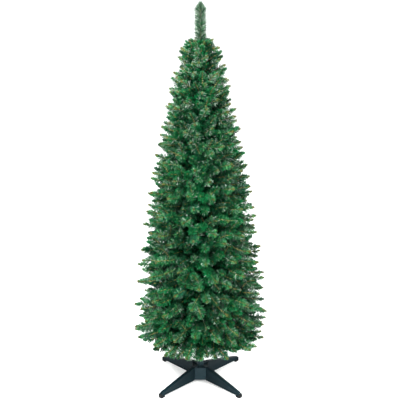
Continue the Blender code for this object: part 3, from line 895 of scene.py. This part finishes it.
def pole_paint():
    """Powder coat on steel tube: glossy dark green with the soft ripple of orange peel, about 2 mm across."""
    colour = bpy.context.scene.fir_stand.paint
    material, tree, shader = new_material(
        "powder-coated steel, dark green", colour, {"Roughness": 0.36, "IOR": 1.52}
    )
    place = grained(tree, shader, grain_mm=2.2, depth_mm=0.04, strength=0.6)
    shaded(tree, shader, place, colour, patch_mm=12.0, spread=0.10)
    return material


# ---- Shapes for the pole and the stand ----


def object_from(bm, name, material, smooth_angle=math.radians(32)):
    """Turns a finished bmesh into an object at the origin, its faces pointing out and its rounds smooth."""
    bmesh.ops.recalc_face_normals(bm, faces=bm.faces)
    mesh = bpy.data.meshes.new(name)
    bm.to_mesh(mesh)
    bm.free()
    mesh.materials.append(material)
    mesh.shade_smooth()
    mesh.set_sharp_from_angle(angle=smooth_angle)
    return add_object(name, mesh)


def finish_piece(piece, slot, *nodes):
    """Fixes a piece to the tree and lets it stand for its solids."""
    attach(piece, BODY)
    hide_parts(*nodes)


def grow_face(bm, face):
    """Extrudes a face and returns the one at the new end. A lone face stays behind, as a cap."""
    grown = bmesh.ops.extrude_face_region(bm, geom=[face])
    end = next(part for part in grown["geom"] if isinstance(part, bmesh.types.BMFace))
    if len(face.edges[0].link_faces) > 2:
        bmesh.ops.delete(bm, geom=[face], context="FACES_ONLY")
    return end


def extruded(points, along):
    """A bar with closed ends: the flat outline through these points, carried along a vector."""
    bm = bmesh.new()
    end = grow_face(bm, bm.faces.new([bm.verts.new(point) for point in points]))
    bmesh.ops.translate(bm, verts=end.verts, vec=along)
    bmesh.ops.recalc_face_normals(bm, faces=bm.faces)
    return bm


def round_edges(bm, edges, radius, segments=3):
    bmesh.ops.bevel(
        bm, geom=edges, offset=radius, segments=segments, profile=0.5, affect="EDGES", material=-1,
        clamp_overlap=True,
    )


def sharp_edges(bm, least_angle=math.radians(30)):
    return [edge for edge in bm.edges if edge.is_manifold and edge.calc_face_angle() > least_angle]


def make_leg(name, angle, material):
    """A tapered beam with a flat rim round a sunk panel on each side.

    Beside the hub it narrows to a neck, and a tongue on its root goes into the hub's slot.
    """
    sizes = bpy.context.scene.fir_stand
    side = [
        (LEG_ROOT, LEG_BOTTOM),
        (LEG_END, LEG_BOTTOM),
        (LEG_END, LEG_END_TOP - LEG_NOSE),
        (LEG_END - LEG_NOSE, LEG_END_TOP),
        (LEG_ROOT, LEG_ROOT_TOP),
    ]
    bm = extruded([(along, -LEG_WIDTH / 2, up) for along, up in side], (0, LEG_WIDTH, 0))
    neck = LEG_ROOT + LEG_NECK
    everything = [*bm.verts, *bm.edges, *bm.faces]
    bmesh.ops.bisect_plane(bm, geom=everything, plane_co=(neck, 0, 0), plane_no=(1, 0, 0))
    flanks = [face for face in bm.faces if abs(face.normal.y) > SQUARE_ON]
    root = next(face for face in bm.faces if face.normal.x < -SQUARE_ON)
    corners = list(root.verts)
    for panel in [face for face in flanks if face.calc_center_median().x > neck]:
        bmesh.ops.inset_region(bm, faces=[panel], thickness=sizes.rim, depth=0.0, use_even_offset=True)
        bmesh.ops.inset_region(
            bm, faces=[panel], thickness=sizes.recess / RECESS_STEEPNESS, depth=-sizes.recess,
            use_even_offset=True,
        )
    bmesh.ops.inset_region(bm, faces=[root], thickness=TONGUE_INSET, use_even_offset=True)
    tongue = grow_face(bm, root)
    bmesh.ops.translate(bm, verts=tongue.verts, vec=(-TONGUE_DEPTH, 0, 0))
    bmesh.ops.scale(bm, verts=corners, vec=(1, LEG_NECK_SHARE, 1))
    round_edges(bm, sharp_edges(bm), sizes.edge)
    bmesh.ops.rotate(bm, verts=bm.verts, matrix=Matrix.Rotation(angle, 3, "Z"))
    return object_from(bm, name, material)


def is_outer_corner(edge):
    """True for the upright edges at the boot's two ends."""
    first, second = (vert.co for vert in edge.verts)
    upright = (first.xy - second.xy).length < SAME_PLACE
    return upright and any(abs(first.x - end) < SAME_PLACE for end in (FOOT_BACK, FOOT_REACH))


def make_foot(name, angle, material):
    """A soft boot under the end of a leg, with a lip that stands up against the end."""
    sizes = bpy.context.scene.fir_stand
    lip = LEG_END + TOUCHING_GAP
    tread_top = LEG_BOTTOM - TOUCHING_GAP
    side = [
        (FOOT_BACK, 0),
        (FOOT_REACH, 0),
        (FOOT_REACH, FOOT_LIP_TOP),
        (lip, FOOT_LIP_TOP),
        (lip, tread_top),
        (FOOT_BACK, tread_top),
    ]
    bm = extruded([(along, -FOOT_WIDTH / 2, up) for along, up in side], (0, FOOT_WIDTH, 0))
    round_edges(bm, [edge for edge in bm.edges if is_outer_corner(edge)], FOOT_CORNER, 4)
    round_edges(bm, sharp_edges(bm), sizes.edge, 2)
    bmesh.ops.rotate(bm, verts=bm.verts, matrix=Matrix.Rotation(angle, 3, "Z"))
    return object_from(bm, name, material)


def make_hub(name, material):
    """The hub's own solid with its triangles merged back to flat faces and its edges rounded.

    A web closes each of its four pockets a little below the rim.
    """
    bm = bmesh.new()
    bm.from_mesh(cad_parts["stand_hub"].data)
    bmesh.ops.remove_doubles(bm, verts=bm.verts, dist=HUB_SAME_PLACE)
    bmesh.ops.dissolve_limit(bm, angle_limit=math.radians(1), verts=bm.verts, edges=bm.edges)
    pockets = [vert for vert in bm.verts if abs(vert.co.z - HUB_FLOOR - HUB_WALL) < HUB_SAME_PLACE]
    bmesh.ops.translate(bm, verts=pockets, vec=(0, 0, HUB_WEB - HUB_FLOOR - HUB_WALL))
    round_edges(bm, sharp_edges(bm), bpy.context.scene.fir_stand.edge, 2)
    return object_from(bm, name, material)


def make_pole(name, material):
    """Three tubes in one, open below and capped on top, spun from a profile of its outside and its inside."""
    foot = HUB_FLOOR + TOUCHING_GAP
    low, middle, top = POLE_RADII
    first, second = POLE_JOINTS
    outside = [
        (low, foot),
        (low, first - POLE_WALL),
        (low - POLE_LIP, first),
        (middle, first + POLE_SWAGE),
        (middle, second - POLE_WALL),
        (middle - POLE_LIP, second),
        (top, second + POLE_SWAGE),
        (top, POLE_TOP - top / 2),
        (top / 2, POLE_TOP),
    ]
    inside = [
        (top - POLE_WALL, POLE_TOP - top),
        (top - POLE_WALL, second + POLE_SWAGE),
        (middle - POLE_WALL, second),
        (middle - POLE_WALL, first + POLE_SWAGE),
        (low - POLE_WALL, first),
        (low - POLE_WALL, foot),
    ]
    profile = [*outside, (0, POLE_TOP), (0, POLE_TOP - top), *inside, outside[0]]
    bm = bmesh.new()
    verts = [bm.verts.new((radius, 0, height)) for radius, height in profile]
    edges = [bm.edges.new(pair) for pair in zip(verts, verts[1:])]
    bmesh.ops.spin(
        bm, geom=verts + edges, cent=(0, 0, 0), axis=(0, 0, 1), angle=2 * math.pi,
        steps=bpy.context.scene.fir_stand.pole_sides, use_merge=True, use_duplicate=False,
    )
    bmesh.ops.remove_doubles(bm, verts=bm.verts, dist=SAME_PLACE)
    return object_from(bm, name, material)


# ---- Studio ----


def lay_floor(settings):
    """A wide round floor of opal acrylic, lit a little from below."""
    glow = {"Roughness": 0.9, "Emission Color": (1.0, 1.0, 1.0, 1.0), "Emission Strength": FLOOR_GLOW}
    material = new_material("opal acrylic floor", settings.floor, glow)[0]
    bm = bmesh.new()
    bmesh.ops.create_circle(bm, cap_ends=True, radius=FLOOR_RADIUS, segments=FLOOR_SEGMENTS)
    object_from(bm, "floor", material)


def light_studio(settings):
    """Even light from all sides, and large soft lamps: two in front, left and right, and one behind."""
    world = bpy.data.worlds.new("studio")
    world.use_nodes = True
    background = world.node_tree.nodes["Background"]
    background.inputs["Color"].default_value = (1.0, 1.0, 1.0, 1.0)
    background.inputs["Strength"].default_value = settings.sky
    bpy.context.scene.world = world
    middle = Vector((0, 0, TREE_HEIGHT / 2))
    for name, place, share, width in LAMPS:
        lamp = bpy.data.lights.new(name, "AREA")
        lamp.energy = settings.key * share
        lamp.size = width
        made = add_object(name, lamp)
        made.location = place
        made.rotation_euler = (middle - Vector(place)).to_track_quat("-Z", "Y").to_euler()


def place_camera(settings):
    """A camera in front of the tree, looking down a little."""
    lens = bpy.data.cameras.new("camera")
    lens.sensor_width = SENSOR_WIDTH
    lens.lens = FOCAL_LENGTH * SENSOR_WIDTH / FRAME_WIDTH
    lens.shift_x = -SIDE_SHIFT / FRAME_WIDTH
    lens.clip_end = 2 * FLOOR_RADIUS
    camera = add_object("camera", lens)
    camera.location = (0, -settings.camera_distance, settings.camera_height)
    camera.rotation_euler = (math.pi / 2 - settings.camera_pitch, 0, 0)
    bpy.context.scene.camera = camera


# ---- Operators ----


class FIR_OT_crown(bpy.types.Operator):
    """Grow the wires and needles of the crown, in bands from its foot up"""

    bl_idname = "fir.crown"
    bl_label = "Grow crown"

    def execute(self, context):
        films, tapes = film_materials(), wire_materials()
        ends = sprig_ends()
        taken = list(ends)
        masses = sorted(spaces(), key=lambda mass: mass[1].low + mass[1].high)
        grown = [(name, grow_mass(name, space, ends, taken)) for name, space in masses]
        wound = [wound_length(shoots) for _, shoots in grown]
        reached = (np.cumsum(wound) - wound) / sum(wound)
        bands = [([], []) for _ in range(CROWN_BANDS)]
        for share, (name, shoots) in zip(reached, grown):
            bands[int(share * CROWN_BANDS)][0].append(name)
            bands[int(share * CROWN_BANDS)][1].extend(shoots)
        for index, (names, shoots) in enumerate(bands, 1):
            chance = np.random.default_rng(index)
            needles = make_needles(f"crown_needles_{index}", shoots, films, chance)
            finish_piece(needles, "needles", *names)
            wires = make_wires(f"crown_wires_{index}", shoots, tapes)
            finish_piece(wires, "needles", *names)
        return {"FINISHED"}


class FIR_OT_leader(bpy.types.Operator):
    """Grow the sprig that stands upright on the pole's top"""

    bl_idname = "fir.leader"
    bl_label = "Grow leader"

    def execute(self, context):
        path = np.zeros((LEADER_POINTS, 3))
        path[:, 2] = np.linspace(POLE_TOP - LEADER_SINK, TREE_HEIGHT - LEADER_TUFT, LEADER_POINTS)
        wire = Shoot(
            path, LEADER_BARE, context.scene.fir_wire.strand, 2, TIP_TINT, LEADER_COARSENESS,
            stretch=LEADER_STRETCH, cone=LEADER_CONE, full=TREE_HEIGHT, glowing=False,
        )
        layers = [wire._replace(tint=TINTS.index(tint)) for tint in LEADER_TINTS]
        chance = np.random.default_rng(SPRIG_SEED)
        needles = make_needles("leader_needles", layers, film_materials(), chance)
        finish_piece(needles, "needles", "top_leader")
        strands = make_wires("leader_wire", [wire], wire_materials())
        finish_piece(strands, "needles", "top_leader")
        return {"FINISHED"}


class FIR_OT_pole(bpy.types.Operator):
    """Make the stepped steel pole"""

    bl_idname = "fir.pole"
    bl_label = "Make pole"

    def execute(self, context):
        finish_piece(make_pole("steel_pole", pole_paint()), "pole_paint", "pole")
        return {"FINISHED"}


class FIR_OT_stand(bpy.types.Operator):
    """Mould the hub, the four legs and their boots"""

    bl_idname = "fir.stand"
    bl_label = "Mould stand"

    def execute(self, context):
        sizes = context.scene.fir_stand
        # Painted shade: the legs get a darker copy of the hub's plastic.
        hub_plastic = stand_plastic("dark blue-grey", sizes.hub_plastic)
        plastic, rubber = stand_plastic("blue-black", sizes.plastic), boot_rubber()
        finish_piece(make_hub("moulded_hub", hub_plastic), "stand_plastic", "stand_hub")
        for index in range(1, 5):
            angle = math.radians(90 * index - 45)
            leg = make_leg(f"moulded_leg_{index}", angle, plastic)
            finish_piece(leg, "stand_plastic", f"stand_leg_{index}")
            foot = make_foot(f"rubber_boot_{index}", angle, rubber)
            finish_piece(foot, "foot_tread", f"stand_foot_{index}")
        return {"FINISHED"}


class FIR_OT_stage(bpy.types.Operator):
    """Set the floor, the light and the camera"""

    bl_idname = "fir.stage"
    bl_label = "Set stage"

    def execute(self, context):
        settings = context.scene.fir_stage
        lay_floor(settings)
        light_studio(settings)
        place_camera(settings)
        context.scene.view_settings.view_transform = "Standard"
        return {"FINISHED"}


# ---- Add-on ----


class FIR_PT_sidebar(bpy.types.Panel):
    """Sizes, colours and steps of the slim fir"""

    bl_idname = "FIR_PT_sidebar"
    bl_label = "Slim Fir"
    bl_space_type = "VIEW_3D"
    bl_region_type = "UI"
    bl_category = "Slim Fir"

    def draw(self, context):
        for group in SETTINGS:
            box = self.layout.box()
            settings = getattr(context.scene, group)
            for name in settings.__annotations__:
                box.prop(settings, name)
        for step in STEPS:
            self.layout.operator(step.bl_idname)


SETTINGS = {"fir_needles": FirNeedles, "fir_wire": FirWire, "fir_stand": FirStand, "fir_stage": FirStage}
STEPS = (FIR_OT_crown, FIR_OT_leader, FIR_OT_pole, FIR_OT_stand, FIR_OT_stage)


def register():
    for group in (*SETTINGS.values(), *STEPS, FIR_PT_sidebar):
        bpy.utils.register_class(group)
    for name, group in SETTINGS.items():
        setattr(bpy.types.Scene, name, PointerProperty(type=group))


def unregister():
    for name in SETTINGS:
        delattr(bpy.types.Scene, name)
    for group in (FIR_PT_sidebar, *reversed(STEPS), *reversed(SETTINGS.values())):
        bpy.utils.unregister_class(group)


def main():
    register()
    bpy.ops.fir.crown()
    bpy.ops.fir.leader()
    bpy.ops.fir.pole()
    bpy.ops.fir.stand()
    bpy.ops.fir.stage()


if __name__ == "__main__":
    main()
